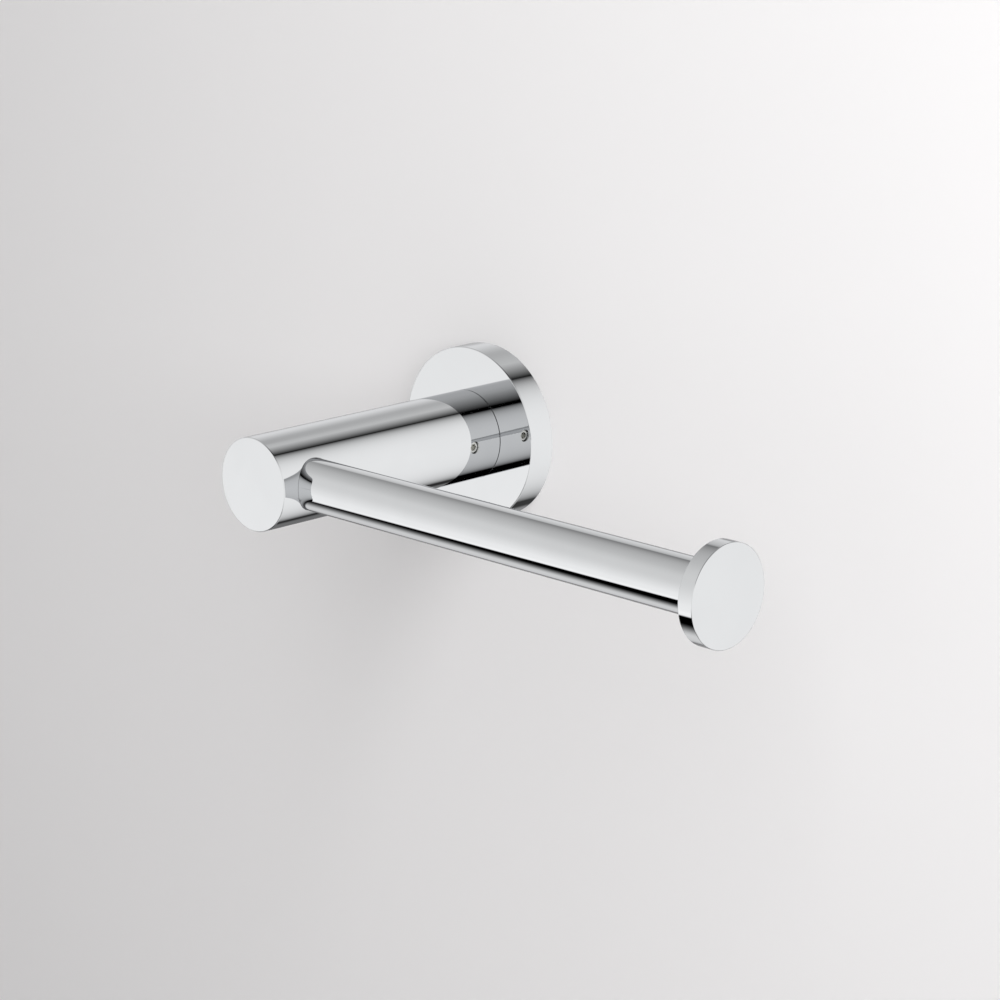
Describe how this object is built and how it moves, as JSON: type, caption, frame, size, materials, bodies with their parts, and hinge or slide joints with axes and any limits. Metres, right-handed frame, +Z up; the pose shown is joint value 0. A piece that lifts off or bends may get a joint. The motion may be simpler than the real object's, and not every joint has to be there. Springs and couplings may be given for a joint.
{
  "type": "toilet paper holder",
  "caption": "Wall-mounted chrome toilet paper holder: a round flange, a round post standing out from the wall and a horizontal tube arm with an end disc that keeps the roll on.",
  "frame": {"origin": "centre of the back of the wall bracket, on the wall's surface and on the post's axis", "axes": "+Y into the wall, -Y along the post into the room, +X along the arm towards its free end, +Z up"},
  "size_m": [0.1985, 0.1302, 0.055],
  "materials": {
    "chrome": "polished chrome plate on brass",
    "brass": "turned, unplated",
    "zinc_steel": "zinc plated sheet",
    "stainless": "machined screw steel",
    "nylon": "moulded grey nylon"
  },
  "bodies": {
    "wall_side": {"wall_plate": "zinc_steel", "spigot": "brass", "wall_screw_upper": "stainless", "wall_screw_lower": "stainless", "wall_plug_upper": "nylon", "wall_plug_lower": "nylon", "flange_cover": "chrome"},
    "post_and_arm": {"post": "chrome", "arm_lock_screw": "stainless", "arm_root_insert": "brass", "arm_tube": "chrome", "arm_end_insert": "brass", "end_disc_stud": "stainless", "end_disc": "chrome"},
    "grub": {"grub_screw": "stainless"}
  },
  "joints": [
    {"name": "post_swivel", "type": "hinge", "parent": "wall_side", "child": "post_and_arm", "pos_m": [0, -0.0201, 0], "axis": [0, 1, 0], "continuous": true},
    {"name": "grub_back_off", "type": "slide", "parent": "post_and_arm", "child": "grub", "axis": [1, 0, 0], "range_m": [0, 0.002]}
  ]
}
